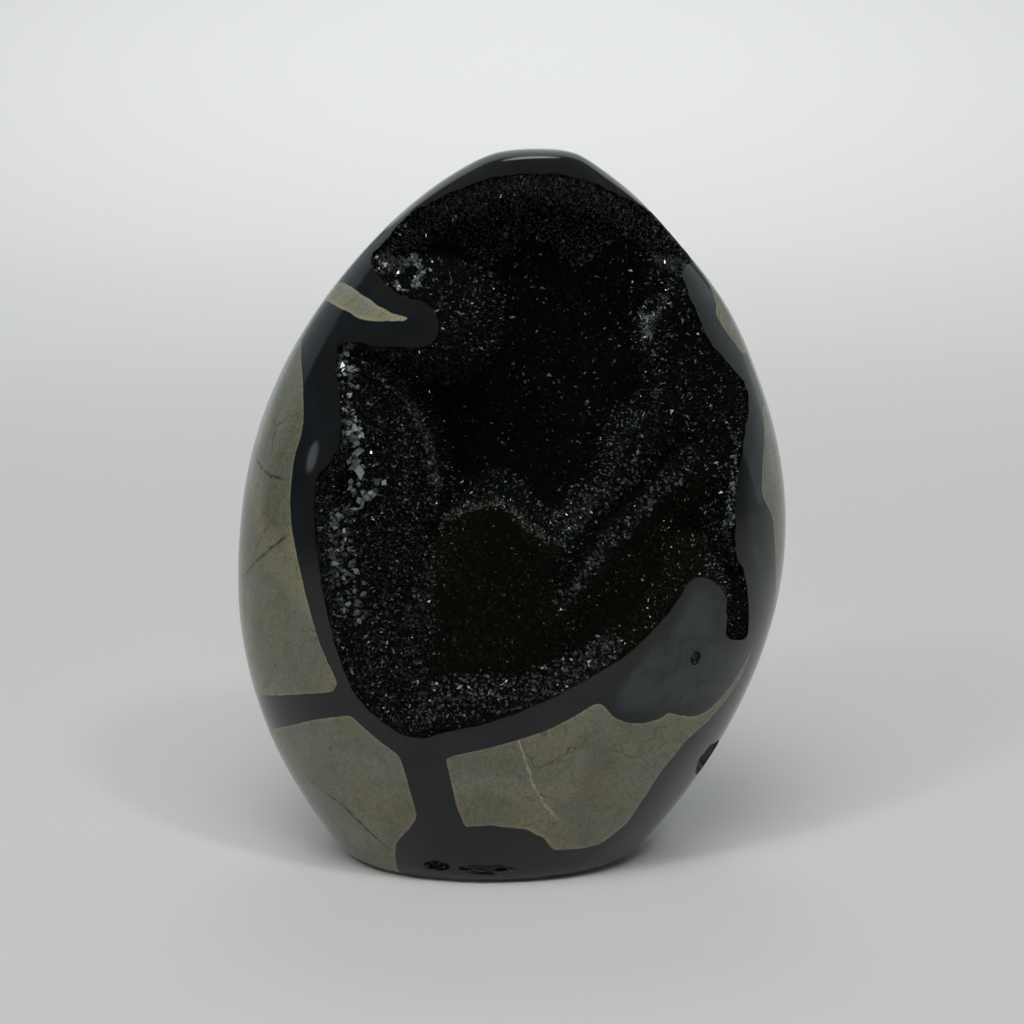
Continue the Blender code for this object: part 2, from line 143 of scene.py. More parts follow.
# Mudstone panels: how pale each is, and its corners.
PANELS = {
    "left_upper": (0.0, [
        (-83.1, 46.7), (-67.2, 39.9), (-61.1, 32.9), (-60.5, 28.8), (-61, 25.6), (-59.8, 16.2), (-58.1, 10),
        (-55.2, 2.5), (-52.1, -6.8), (-49.7, -14.5), (-45.1, -24.9), (-59.1, -26), (-74.7, -27.4),
        (-100, -28.5),
        (-107, -12), (-108, 8), (-103, 28), (-95, 42)]),
    "left_lower": (-0.1, [
        (-71.3, -33.7), (-54.8, -31.3), (-44, -30.4), (-38.8, -35.2), (-32.5, -40.1), (-31.9, -44.3),
        (-31.9, -49.4), (-32, -53.9), (-45.6, -59.3), (-60, -70), (-100, -68), (-107, -50), (-103, -36.5)]),
    "front": (-0.1, [
        (-19.3, -40.9), (2.3, -37.6), (9.3, -35.8), (18.8, -31.4), (22.7, -29.1), (25, -29.2),
        (28.1, -32.2),
        (32.3, -33.9), (38.5, -34.1), (43.4, -33), (44.9, -31.5), (47.4, -32.1), (53.1, -33.1),
        (56.7, -32.8),
        (60.3, -31.4), (66.9, -25.3), (71, -17), (70, -25), (63.8, -32.4), (60.5, -35.3), (55.2, -38.8),
        (50.5, -45.9), (48.6, -51.9), (46.8, -58.6), (39.1, -63.2), (29.7, -64), (17, -64), (13, -61.2),
        (4.8, -58.7), (-7.9, -57.3), (-16.9, -57.2), (-18.2, -52.1), (-18.7, -47)]),
    "shelf": (0.45, [
        (-86.7, 57), (-76.5, 58.3), (-68.6, 58.3), (-59.5, 57.9), (-51.8, 57.3), (-44.9, 56.7),
        (-37.1, 56.6),
        (-36.8, 56.2), (-40.7, 55.6), (-49.7, 54.4), (-54.6, 54), (-67.3, 54.3), (-76.7, 54.2), (-95, 52.5),
        (-112, 53), (-124, 58), (-118, 62), (-100, 60)]),
    "right_upper": (0.2, [
        (76.9, 50.8), (72.6, 49.6), (73.6, 46.4), (75.8, 44.1), (77.9, 41.5), (92, 39), (112, 41),
        (128, 50),
        (124, 60), (102, 61), (86, 56)]),
    "right_middle": (0.1, [
        (83.2, 31.7), (78.6, 30.8), (75.5, 26.5), (71, 21.3), (68.9, 16.3), (69.8, 14), (73.3, 10),
        (74.3, 4.6),
        (75.9, -1.3), (79.6, -9), (84, -18), (96, -23), (116, -20), (124, -4), (122, 16), (112, 30),
        (96, 34)]),
    "right_lower": (0.0, [
        (86, -44), (92, -36), (100, -31), (118, -29), (126, -40), (124, -58), (104, -68), (92, -62),
        (86, -52)]),
    "back_left_upper": (0.1, [
        (247, 22), (240, 40), (226, 50), (206, 46), (196, 30), (198, 10), (212, 2), (236, 4), (246, 10)]),
    "back_left_lower": (-0.1, [
        (246, -6), (232, -4), (212, -8), (203, -22), (206, -44), (220, -58), (240, -56), (248, -40),
        (249, -22)]),
    "back_middle": (0.0, [
        (190, 6), (186, 28), (172, 38), (152, 34), (138, 24), (134, 4), (140, -12), (156, -20), (178, -16),
        (192, -6)]),
    "back_lower": (0.05, [
        (194, -26), (196, -48), (190, -64), (160, -70), (140, -60), (134, -44), (138, -30), (154, -29),
        (178, -25)]),
    "back_upper": (0.15, [
        (184, 47), (164, 47), (146, 42), (136, 52), (142, 66), (170, 74), (205, 72), (215, 62), (204, 54)]),
    "underside": (0.0, [(20, -72), (70, -76), (130, -80), (220, -78), (300, -80), (340, -74)]),
}
# Where the calcite is clouded and greyer.
CLOUDS = [
    [(48.9, 2), (45, 0.5), (41.8, -9.5), (35.5, -15.8), (29.2, -23.7), (28.3, -31), (45, -31), (66, -27),
     (74, -12), (74, -2), (60, 2)],
    [(75, 59), (79, 51), (76, 42), (73.5, 36), (75, 25), (74, 8), (68, -4), (62, 4), (62, 22), (65, 32),
     (66, 42),
     (62, 50), (66, 56)],
]
# Hairline cracks: how pale each is, and its course.
CRACKS = [
    (0.0, [(-86, -6), (-77, -3), (-69.9, 1.5), (-63.4, 5.8), (-58.3, 9.3)]),
    (0.0, [(-77, -3), (-78, -9), (-79.4, -17), (-74.5, -26.6)]),
    (0.0, [(-86, 24), (-77.8, 21.1), (-68.9, 19.6), (-62, 20.3)]),
    (0.0, [(-67.5, -43.2), (-56.8, -50.1), (-50.6, -57.3), (-47, -61)]),
    (0.0, [(-64.1, -48.8), (-67.8, -52.2)]),
    (1.0, [(-0.5, -33.5), (2, -37.9), (6.7, -48.7), (11.7, -54), (18.6, -57.9)]),
    (0.0, [(43.3, -53.7), (47.8, -52.4)]),
    (0.0, [(124, 2), (108, 8), (100, 20), (92, 33)]),
    (0.0, [(108, 8), (96, -4), (84, -10)]),
    (0.0, [(190, 2), (172, 8), (158, 22), (146, 30)]),
    (0.0, [(172, 8), (160, -4), (150, -18)]),
    (0.0, [(244, -10), (228, -22), (222, -38), (208, -46)]),
    (0.0, [(242, 36), (226, 26), (214, 6)]),
    (0.0, [(192, -34), (172, -44), (150, -42), (136, -46)]),
    (0.0, [(96, -33), (94, -46), (100, -60)]),
]
CRACK_REACH = 1.6  # how far from its line a crack is marked
PANEL_CORNERS = (0.6, 0.25, 0.1)  # how far the corners of a panel are cut back, and cut back again
LONG_SIDES = (0.28, 1.5)  # share of a long side, and what is taken off it, for a further cut there

# The crystals. A tone is -1 for brown, 0 for black, 1 for grey and 2 for pale.
# Small crystals, by the part of the hollow: how many to a square millimetre, widths, lengths as shares of
# the width, lean, tones, and the share of brighter ones.
SMALL_CRYSTALS = {
    "deep": (3.6, (0.6, 1.1), (0.7, 1.4), 0.35, (-0.4, 0.4), 0.04),
    # The deep part's crystals behind the shelf get darker tones than the rest: painted shade of the shelf on
    # black crystals.
    "painted_shade_behind_shelf": (3.6, (0.6, 1.1), (0.7, 1.4), 0.35, (-0.4, 0.2), 0.02),
    # The uppermost crystals of the deep part get greyer tones: painted light where the rim shades them; they
    # are as black as the rest.
    "painted_lit_top": (3.6, (0.6, 1.1), (0.7, 1.2), 0.35, (0.3, 0.8), 0.06),
    "left_lobe": (4.0, (0.6, 1.1), (0.7, 1.3), 0.4, (0.0, 0.65), 0.07),
    "mound": (6.5, (0.5, 0.8), (0.7, 1.3), 0.35, (-1.1, -0.4), 0.01),
    "right_wall": (4.2, (0.6, 1.1), (0.7, 1.3), 0.35, (-0.4, 0.5), 0.08),
}
BRIGHTER = (0.7, 1.5)  # their tones
GLOSSY_TONE = 0.6  # from what tone on crystals are glossy
LARGER_LENGTHS = (1.2, 2.6)  # lengths of larger crystals, as shares of the width
LARGER_LEAN = 0.8
# Seams and patches of larger crystals: line, half-width, how many to a square millimetre, widths, tones.
SEAMS = [
    ([(-35.7, 112.4), (-34.1, 110.7), (-32.8, 107.4)], 2.4, 0.6, (0.8, 1.9), (0.8, 1.9)),
    ([(-33.5, 102.6), (-32.2, 96.6), (-31, 90.2)], 2.4, 0.3, (0.6, 1.5), (0.9, 2.0)),
    ([(-31.6, 94.7), (-31.2, 87.2)], 1.0, 0.7, (1.0, 2.4), (1.3, 2.2)),
    ([(-32.1, 77.7), (-29.2, 81.2), (-26.8, 83.8)], 0.7, 1.0, (0.8, 1.5), (1.1, 2.0)),
    ([(-32.5, 83.7), (-29.2, 81.2)], 0.7, 1.0, (0.8, 1.5), (1.1, 2.0)),
    ([(-35.0, 76.1), (-34.0, 67.8), (-32.0, 58.4)], 2.6, 0.5, (0.6, 1.5), (0.7, 1.6)),
    ([(-28.2, 106.3), (-21.8, 100), (-19.3, 95.4), (-17.2, 89.3), (-15.5, 80.5)], 0.6, 0.9, (0.5, 0.9),
     (0.8, 1.3)),
    ([(-29.0, 127.2), (-25.8, 127.3)], 1.6, 0.6, (0.7, 1.5), (0.5, 1.2)),
    ([(-21.8, 126.6), (-20.5, 127.4), (-19, 126.5), (-18.5, 124.8), (-19.8, 123.3)], 0.5, 1.2, (0.7, 1.4),
     (0.9, 1.6)),
    ([(-23.4, 123.6), (-22.1, 122.8)], 0.5, 1.2, (0.8, 1.4), (1.1, 1.8)),
    ([(35.2, 122.2), (31.5, 119.5), (29.3, 116.1), (27.3, 111.1)], 0.5, 0.6, (0.6, 1.1), (0.6, 1.3)),
    ([(27.9, 115.2), (28.2, 112.2)], 0.8, 0.7, (0.7, 1.1), (1.2, 2.0)),
    ([(46.0, 102.8), (46.5, 98.1), (46, 92.6), (45.6, 84.8), (44.6, 76)], 1.4, 1.1, (0.6, 1.1), (0.7, 1.8)),
    ([(26.5, 94.3), (24.2, 88.3), (26.5, 84), (20, 80), (16.5, 76.5), (9.7, 70.8)], 1.6, 0.45, (0.5, 1.0),
     (0.4, 1.0)),
    ([(34.2, 84.2), (30, 81), (27, 76.5), (19.5, 71), (15, 64.5), (9.5, 59.5)], 1.0, 0.5, (0.6, 1.1),
     (0.5, 1.2)),
    ([(-14.9, 72.1), (-13.2, 74.8), (-9.3, 77.3), (-2.9, 78.4), (0.4, 76.7), (2.5, 73.9), (7.4, 70.2)],
     0.4, 1.8,
     (0.4, 0.7), (0.8, 1.3)),
    ([(-16.4, 39.9), (-8.4, 41.1), (1.6, 43.8), (11.6, 48.2), (19.6, 52.4)], 2.6, 1.4, (0.5, 0.9),
     (0.3, 0.85)),
    ([(-13.4, 44.2), (-3.4, 45)], 2.6, 1.4, (0.5, 0.9), (0.4, 0.95)),
]


# Plane geometry of the plans.


def smooth_loop(points, steps):
    """A closed Catmull-Rom curve through the points, with so many steps from each to the next."""
    p = np.array(points, float)
    before, after, beyond = np.roll(p, 1, 0), np.roll(p, -1, 0), np.roll(p, -2, 0)
    curve = []
    for k in range(steps):
        t = k / steps
        bend = (2 * before - 5 * p + 4 * after - beyond) * t**2
        bend = bend + (3 * p - before - 3 * after + beyond) * t**3
        curve.append(0.5 * (2 * p + (after - before) * t + bend))
    return np.stack(curve, 1).reshape(-1, 2)


def cut_corners(points, amounts):
    """A closed outline with its corners cut back by each amount in turn, and further on long sides."""
    for amount in amounts:
        run = np.roll(points, -1, 0) - points
        length = np.hypot(*run.T)
        cut = np.maximum(LONG_SIDES[0] * length - LONG_SIDES[1], amount)
        share = np.minimum(cut / length, 0.3)[:, None]
        points = np.stack([points + share * run, points + (1 - share) * run], 1).reshape(-1, 2)
    return points


def distance_to_line(points, line, closed=False):
    """How far each point lies from a chain of straight runs."""
    line = np.array(line, float)
    starts, ends = (line, np.roll(line, -1, 0)) if closed else (line[:-1], line[1:])
    nearest = np.full(len(points), np.inf)
    for a, b in zip(starts, ends):
        run = b - a
        share = np.clip((points - a) @ run / max(run @ run, 1e-12), 0, 1)
        nearest = np.minimum(nearest, ((points - a - share[:, None] * run) ** 2).sum(1))
    return np.sqrt(nearest)


def depth_inside(points, loop):
    """Distance to a closed loop, positive inside it."""
    x, z = points.T
    inside = np.zeros(len(points), bool)
    for (ax, az), (bx, bz) in zip(loop, np.roll(loop, -1, 0)):
        if az != bz:
            inside ^= ((az > z) != (bz > z)) & (x < (bx - ax) * (z - az) / (bz - az) + ax)
    return np.where(inside, 1, -1) * distance_to_line(points, loop, closed=True)


def smooth_step(value, low, high):
    t = np.clip((value - low) / (high - low), 0, 1)
    return t * t * (3 - 2 * t)


def smooth_min(a, b, reach):
    blend = np.maximum(reach - np.abs(a - b), 0) / reach
    return np.minimum(a, b) - blend**2 * reach / 4


def noise_at(points, size, seed=0.0):
    """Smooth noise from -1 to 1 at each point, with lumps of a size."""
    shift = Vector((seed, 2 * seed, 3 * seed))
    return np.array([noise.noise(Vector(point) / size + shift) for point in points])


# The form of the stone.

RIM_LINE = smooth_loop(RIM, 3)
DEEP_LINE = smooth_loop(DEEP_EDGE, 3)


def egg_section(z):
    """Half-width, half-depth and middle x of the level cut at height z."""
    cosine = np.clip(1 - 2 * (z + FLAT_CUT) / (HEIGHT + FLAT_CUT), -1, 1)
    half = WIDTH / 2 * np.sqrt(1 - cosine**2) * (1 - EGG_TAPER[0] * cosine - EGG_TAPER[1] * cosine**2)
    half = half * (1 + TIP[0] * np.exp((z - HEIGHT) / TIP[1]))
    share = z / HEIGHT
    middle = LEAN[0] + LEAN[1] * share + LEAN[2] * share**3 + TIP[2] * np.exp((z - HEIGHT) / TIP[3])
    for side, height, reach, amount in BULGES:
        bulge = amount / 2 * np.exp(-(((z - height) / reach) ** 2))
        half, middle = half + bulge, middle + side * bulge
    return half, half * DEPTH_SHARE, middle


def polished_front(x, z):
    """The y of the polished front, and 0 past the stone's side."""
    half, deep, middle = egg_section(z)
    across = (x - middle) / np.maximum(half, 1e-6)
    return -deep * np.sqrt(np.clip(1 - across**2, 0, 1))


def crystal_front(points):
    """The y of the crystal-covered wall of the hollow at each (x, z)."""
    x, z = points.T
    (bowl_x, bowl_z), (bowl_width, bowl_height), deepest = BOWL
    bowl = deepest * (1 - ((x - bowl_x) / bowl_width) ** 2 - ((z - bowl_z) / bowl_height) ** 2)

    apron_y, apron_z, rise_below, rise_above = APRON
    apron = apron_y + np.where(z < apron_z, rise_below, rise_above) * (z - apron_z)
    lobe_y, lobe_x, curve = LEFT_LOBE
    left_lobe = lobe_y + curve * (x - lobe_x) ** 2
    wall_y, wall_x, rise = RIGHT_WALL
    right_wall = wall_y + rise * (x - wall_x)
    shallow = smooth_min(smooth_min(apron, left_lobe, BLEND), right_wall, BLEND)
    for line, half_width, height in FOLDS:
        shallow = shallow + height * np.exp(-((distance_to_line(points, line) / half_width) ** 2))

    deep = smooth_step(depth_inside(points, DEEP_LINE), *CLIFF)
    wall = shallow + (bowl - shallow) * deep
    wall = wall + LUMPS * np.sin(x / 2.9 + 1.4 * np.sin(z / 5.3)) * np.sin(z / 3.4 + 1.2 * np.sin(x / 6.1))

    polish = polished_front(x, z)
    under_rim = polish + RIM_STEP + RIM_SLOPE * np.maximum(depth_inside(points, RIM_LINE), 0)
    wall = np.maximum(smooth_min(wall, under_rim, 3), polish + RIM_STEP / 2)
    return np.minimum(wall, beside_rim(x, z))


def beside_rim(x, z):
    """The y that the crystals can't go beyond where the rim runs along the stone's side."""
    half, _, middle = egg_section(z)
    back, height, reach, fall = SIDE_RIM
    rim = back - fall * (1 - np.exp(-(((z - height) / reach) ** 2)))
    return rim + SIDE_SLOPE * np.maximum(half - np.abs(x - middle), 0)


def wall_behind(points, thickness):
    """The y of a wall that keeps a thickness behind the crystal-covered one, whatever its slope."""
    deepest = crystal_front(points) + thickness
    for share in (0.4, 0.75, 1.0):
        for turn in range(8):
            angle = turn * math.pi / 4 + share
            shift = share * thickness * np.array([math.cos(angle), math.sin(angle)])
            ahead = thickness * math.sqrt(1 - share**2)
            deepest = np.maximum(deepest, crystal_front(points + shift) + ahead)
    return np.minimum(deepest, beside_rim(*points.T) + thickness)


def depth_table():
    """The back of the crust at the corners of a grid."""
    low_x, high_x, low_z, high_z = HOLLOW_BOX
    across = np.linspace(low_x, high_x, round((high_x - low_x) / WALL_PITCH) + 1)
    upward = np.linspace(low_z, high_z, round((high_z - low_z) / WALL_PITCH) + 1)
    grid = np.stack(np.meshgrid(across, upward, indexing="ij"), -1)
    return wall_behind(grid.reshape(-1, 2), CRUST).reshape(grid.shape[:2])


def back_of_crust(points, table):
    """The y of the back of the crust at each (x, z), read between the corners of the table."""
    low = np.array(HOLLOW_BOX[::2])
    high = np.array(HOLLOW_BOX[1::2])
    steps = np.array(table.shape) - 1
    place = np.clip((points - low) / (high - low), 0, 1) * steps
    cell = np.minimum(place.astype(int), steps - 1)
    (i, j), (u, v) = cell.T, (place - cell).T
    near = table[i, j] * (1 - u) + table[i + 1, j] * u
    far = table[i, j + 1] * (1 - u) + table[i + 1, j + 1] * u
    return near * (1 - v) + far * v


# Meshes.


def positions(mesh):
    """The corners of a mesh, in millimetres."""
    places = np.empty(len(mesh.vertices) * 3, np.float32)
    mesh.vertices.foreach_get("co", places)
    return places.reshape(-1, 3).astype(float) / MM


def move_corners(mesh, places):
    mesh.vertices.foreach_set("co", (places * MM).astype(np.float32).ravel())
    mesh.update()


def mark(mesh, name, values):
    """Stores one number at each corner, for the materials to read."""
    layer = mesh.attributes.new(name, "FLOAT", "POINT")
    layer.data.foreach_set("value", np.asarray(values, np.float32))


def finished_object(name, shape, materials=()):
    """An object from a bmesh, which is used up."""
    mesh = bpy.data.meshes.new(name)
    shape.to_mesh(mesh)
    shape.free()
    item = bpy.data.objects.new(name, mesh)
    bpy.context.scene.collection.objects.link(item)
    for material in materials:
        mesh.materials.append(material)
    return item


def combine(item, other, operation):
    """Applies one Boolean operation, and does away with the second object."""
    modifier = item.modifiers.new(operation.lower(), "BOOLEAN")
    modifier.object = other
    modifier.operation = operation
    modifier.solver = "EXACT"
    bpy.context.view_layer.update()
    result = bpy.data.meshes.new_from_object(item.evaluated_get(bpy.context.evaluated_depsgraph_get()))
    item.modifiers.clear()
    item.data = result
    bpy.data.objects.remove(other, do_unlink=True)


def egg_shape(name, steps, materials, inset=0.0):
    """The whole polished egg with its flat, drawn in by an inset."""
    shape = bmesh.new()
    bmesh.ops.create_cube(shape, size=2)
    bmesh.ops.subdivide_edges(shape, edges=shape.edges, cuts=steps - 1, use_grid_fill=True)
    egg = finished_object(name, shape, materials)
    ball = np.tan(positions(egg.data) * MM * math.pi / 4)
    ball = ball / np.linalg.norm(ball, axis=1)[:, None]
    z = (HEIGHT + FLAT_CUT) * (1 + ball[:, 2]) / 2 - FLAT_CUT
    half, deep, middle = egg_section(z)
    round_it = ball[:, :2] / np.maximum(np.hypot(*ball[:, :2].T), 1e-6)[:, None]
    x = middle + np.maximum(half - inset, 0) * round_it[:, 0]
    y = np.maximum(deep - inset, 0) * round_it[:, 1]
    z = np.maximum(z, 0) + np.maximum(FLAT_EDGE - np.abs(z), 0) ** 2 / (4 * FLAT_EDGE)
    move_corners(egg.data, np.stack([x, y, z * (1 - 2 * inset / HEIGHT) + inset], 1))
    return egg


def grid_block(name, pitch, front, back, materials, longest=None):
    """A block over the hollow's plan, from one height field back to another.

    Long edges of its front are split. The front has the first material, and the rest the second.
    """
    low_x, high_x, low_z, high_z = HOLLOW_BOX
    shape = bmesh.new()
    steps = [round((high_x - low_x) / pitch), round((high_z - low_z) / pitch)]
    bmesh.ops.create_grid(shape, x_segments=steps[0], y_segments=steps[1], size=0.5)

    def lay(vertices, depth):
        plan = np.array([(vertex.co.x, vertex.co.z) for vertex in vertices])
        for vertex, y in zip(vertices, depth(plan)):
            vertex.co.y = y

    for vertex in shape.verts:
        share_x, share_z = vertex.co.x + 0.5, vertex.co.y + 0.5
        vertex.co = Vector((low_x + share_x * (high_x - low_x), 0, low_z + share_z * (high_z - low_z)))
    lay(shape.verts, front)
    for _ in range(4 if longest else 0):
        long = [edge for edge in shape.edges if edge.calc_length() > longest]
        known = set(shape.verts)
        bmesh.ops.subdivide_edges(shape, edges=long, cuts=1)
        bmesh.ops.triangulate(shape, faces=shape.faces)
        lay([vertex for vertex in shape.verts if vertex not in known], front)

    open_faces = set(shape.faces)
    moved = bmesh.ops.extrude_face_region(shape, geom=shape.faces[:])["geom"]
    lay([item for item in moved if isinstance(item, bmesh.types.BMVert)], back)
    for face in shape.faces:
        face.material_index = int(face not in open_faces)
    bmesh.ops.recalc_face_normals(shape, faces=shape.faces)
    bmesh.ops.scale(shape, vec=(MM, MM, MM), verts=shape.verts)
    return finished_object(name, shape, materials)


def rim_prism(wider, materials):
    """The hollow's ragged outline, drawn out from front to back, with the second material."""
    outline = smooth_loop(RIM, 6)
    run = np.roll(outline, -1, 0) - np.roll(outline, 1, 0)
    outward = np.stack([run[:, 1], -run[:, 0]], 1) / np.hypot(*run.T)[:, None]
    amount, length = RAGGED
    places = np.column_stack([outline, np.zeros(len(outline))])
    uneven = amount * (noise_at(places, length) + 0.6 * noise_at(places, length / 2.5, 9.0))
    outline = outline + outward * (wider + uneven)[:, None]
    shape = bmesh.new()
    corners = [shape.verts.new((x * MM, -WIDTH * MM, z * MM)) for x, z in outline]
    face = shape.faces.new(corners)
    drawn = bmesh.ops.extrude_face_region(shape, geom=[face])["geom"]
    ends = [item for item in drawn if isinstance(item, bmesh.types.BMVert)]
    bmesh.ops.translate(shape, vec=(0, 1.5 * WIDTH * MM, 0), verts=ends)
    bmesh.ops.recalc_face_normals(shape, faces=shape.faces)
    for face in shape.faces:
        face.material_index = 1
    return finished_object("rim_prism", shape, materials)


def chip_shape(number, middle, half_sizes, materials):
    """A small rough hollow."""
    shape = bmesh.new()
    bmesh.ops.create_icosphere(shape, subdivisions=4, radius=1)
    chip = finished_object(f"chip_{number}", shape, materials)
    ball = positions(chip.data) * MM
    rough = 1 + 0.14 * np.sin(5 * ball[:, 0] + 2) * np.sin(4 * ball[:, 2] + 4 * ball[:, 1])
    rough = rough + 0.06 * noise_at(ball, 0.4, number)
    move_corners(chip.data, np.array(middle) + np.array(half_sizes) * ball * rough[:, None])
    return chip


# The pattern on the polish.


def directions(angles):
    """Unit vectors of directions given in degrees, round from the front and up from level."""
    round_from_front, up = np.radians(np.array(angles, float)).T
    level = np.cos(up)
    return np.stack([np.sin(round_from_front) * level, -np.cos(round_from_front) * level, np.sin(up)], 1)


def chart(centre, vectors):
    """Places of directions on a flat chart round a centre, in millimetres, and which of them lie on it."""
    centre = centre / np.linalg.norm(centre)
    east = np.cross((0.0, 0.0, 1.0), centre)
    east = east / np.linalg.norm(east)
    north = np.cross(centre, east)
    along = vectors @ centre
    on_chart = along > 0.25
    flat = np.stack([vectors @ east, vectors @ north], 1) / np.where(on_chart, along, 1)[:, None]
    return flat * REACH, on_chart


def inside_outline(vectors, corners):
    """Distance to an outline on the polish, positive inside it."""
    ring = directions(corners)
    centre = ring.mean(0)
    flat, on_chart = chart(centre, vectors)
    outline = cut_corners(chart(centre, ring)[0], PANEL_CORNERS)
    distance = np.full(len(vectors), -30.0)
    distance[on_chart] = depth_inside(flat[on_chart], outline)
    return distance


def beside_crack(vectors, course):
    """Distance to a crack's line, with a sign for its side, and how strongly it shows."""
    line = directions(course)
    centre = line.mean(0)
    flat, on_chart = chart(centre, vectors)
    line = chart(centre, line)[0]
    distance = np.where(on_chart, distance_to_line(flat, line), 30.0)
    side, best = np.ones(len(vectors)), np.full(len(vectors), np.inf)
    for a, b in zip(line[:-1], line[1:]):
        run = b - a
        share = np.clip((flat - a) @ run / (run @ run), 0, 1)
        away = ((flat - a - share[:, None] * run) ** 2).sum(1)
        turn = np.sign(run[0] * (flat - a)[:, 1] - run[1] * (flat - a)[:, 0])
        side, best = np.where(away < best, turn, side), np.minimum(away, best)
    to_ends = np.minimum(*[np.hypot(*(flat - end).T) for end in (line[0], line[-1])])
    shows = smooth_step(distance, CRACK_REACH, CRACK_REACH / 2) * smooth_step(to_ends, 0, 4)
    return side * distance, shows


def mark_pattern(mesh):
    """Marks where the mudstone, the clouded calcite and the cracks are, for the stone's material."""
    places = positions(mesh)
    vectors = places - MIDDLE
    vectors = vectors / np.linalg.norm(vectors, axis=1)[:, None]
    panel, pale = np.full(len(places), -30.0), np.zeros(len(places))
    for paleness, corners in PANELS.values():
        distance = inside_outline(vectors, corners)
        pale = np.where(distance > panel, paleness, pale)
        panel = np.maximum(panel, distance)
    mark(mesh, "panel", panel)
    mark(mesh, "pale", pale)
    mark(mesh, "cloud", np.max([inside_outline(vectors, corners) for corners in CLOUDS], axis=0))

    crack, strength, pale_crack = np.full(len(places), 9.0), np.zeros(len(places)), np.zeros(len(places))
    for paleness, course in CRACKS:
        distance, shows = beside_crack(vectors, course)
        nearer = np.abs(distance) < np.abs(crack)
        crack = np.where(nearer, distance, crack)
        strength = np.where(nearer, shows, strength)
        pale_crack = np.where(nearer, paleness, pale_crack)
    mark(mesh, "crack", np.clip(crack, -CRACK_REACH, CRACK_REACH))
    mark(mesh, "crack_strength", strength)
    mark(mesh, "crack_pale", pale_crack)

    to_rim = -depth_inside(places[:, [0, 2]], RIM_LINE)
    mark(mesh, "from_rim", np.where(places[:, 1] < 5, np.clip(to_rim, -5, 30), 30))


# Crystals.


def steep_point():
    """A three-sided point, of unit width and with its foot a third of its length below the wall."""
    foot = [(math.cos(turn) / 2, math.sin(turn) / 2, -1 / 3) for turn in np.radians((0, 120, 240))]
    return np.array([(0, 0, 2 / 3), *foot]), np.array([(0, 1, 2), (0, 2, 3), (0, 3, 1), (1, 3, 2)])


def rhombohedron():
    """A steep rhombohedron on its point, of unit width and length."""
    rows = [(0, 0, 0.5)]
    for level, turn in ((1 / 6, 0), (-1 / 6, 60)):
        angles = np.radians((turn, turn + 120, turn + 240))
        rows += [(math.cos(angle) / 2, math.sin(angle) / 2, level) for angle in angles]
    rows.append((0, 0, -0.5))
    faces = [(0, 1, 4, 2), (0, 2, 5, 3), (0, 3, 6, 1), (7, 4, 1, 6), (7, 5, 2, 4), (7, 6, 3, 5)]
    return np.array(rows), np.array(faces)


def open_side(bed):
    """Triangles of the crust's open side, in millimetres, and how their corners face."""
    mesh = bed.data
    mesh.calc_loop_triangles()
    triangles = np.empty(len(mesh.loop_triangles) * 3, np.int32)
    mesh.loop_triangles.foreach_get("vertices", triangles)
    materials = np.empty(len(mesh.loop_triangles), np.int32)
    mesh.loop_triangles.foreach_get("material_index", materials)
    triangles = triangles.reshape(-1, 3)[materials == 0]
    normals = np.empty(len(mesh.vertices) * 3, np.float32)
    mesh.vertex_normals.foreach_get("vector", normals)
    return positions(mesh)[triangles], normals.reshape(-1, 3).astype(float)[triangles]


def scatter(triangles, facing, density, chance):
    """Spots on triangles, so many to a square millimetre, and the direction in which each faces."""
    sides = triangles[:, 1:] - triangles[:, :1]
    area = np.linalg.norm(np.cross(sides[:, 0], sides[:, 1]), axis=1) / 2
    counts = np.floor(area * density + chance.random(len(area))).astype(int)
    chosen = np.repeat(np.arange(len(area)), counts)
    shares = chance.dirichlet((1, 1, 1), len(chosen))[:, :, None]
    normals = (facing[chosen] * shares).sum(1)
    return (triangles[chosen] * shares).sum(1), normals / np.linalg.norm(normals, axis=1)[:, None]


def under_polish(places):
    """How far each place lies inside the polished egg."""
    x, y, z = places.T

    def share(level):
        half, deep, middle = egg_section(level)
        return np.hypot((x - middle) / half, y / deep)

    across = share(z) / np.hypot(x - egg_section(z)[2], y)
    return (1 - share(z)) / np.hypot(across, share(z + 0.5) - share(z - 0.5))


def crystal_piece(name, form, spots, facing, widths, lengths, lean, tones, materials, chance):
    """One object of many closed crystals on the wall, each turned its own way and kept under the polish.

    The dull ones have the first material, and the glossy ones the second.
    """
    room = under_polish(spots)
    smaller = np.clip(room / (0.8 * lengths), 0.4, 1)
    widths, lengths = widths * smaller, lengths * smaller
    spots = spots - facing * np.maximum(0.8 * lengths - room, 0)[:, None]
    axis = facing + lean * chance.normal(size=spots.shape)
    axis = axis / np.linalg.norm(axis, axis=1)[:, None]
    side = np.cross(axis, chance.normal(size=spots.shape))
    side = side / np.linalg.norm(side, axis=1)[:, None]
    shape, faces = form
    across = np.cross(axis, side)
    frames = np.stack([side * widths[:, None], across * widths[:, None], axis * lengths[:, None]], 1)
    corners = (spots[:, None] + shape @ frames).reshape(-1, 3)
    faces = (np.arange(len(spots))[:, None, None] * len(shape) + faces).reshape(-1, faces.shape[1])

    mesh = bpy.data.meshes.new(name)
    mesh.vertices.add(len(corners))
    mesh.loops.add(faces.size)
    mesh.polygons.add(len(faces))
    mesh.loops.foreach_set("vertex_index", faces.ravel().astype(np.int32))
    mesh.polygons.foreach_set("loop_start", np.arange(0, faces.size, faces.shape[1], dtype=np.int32))
    mesh.update(calc_edges=True)
    move_corners(mesh, corners)
    mesh.shade_flat()
    mark(mesh, "tone", np.repeat(tones, len(shape)))
    for material in materials:
        mesh.materials.append(material)
    glossy = np.repeat(tones > GLOSSY_TONE, len(faces) // len(spots))
    mesh.polygons.foreach_set("material_index", glossy.astype(np.int32))
    item = bpy.data.objects.new(name, mesh)
    bpy.context.scene.collection.objects.link(item)
    return item


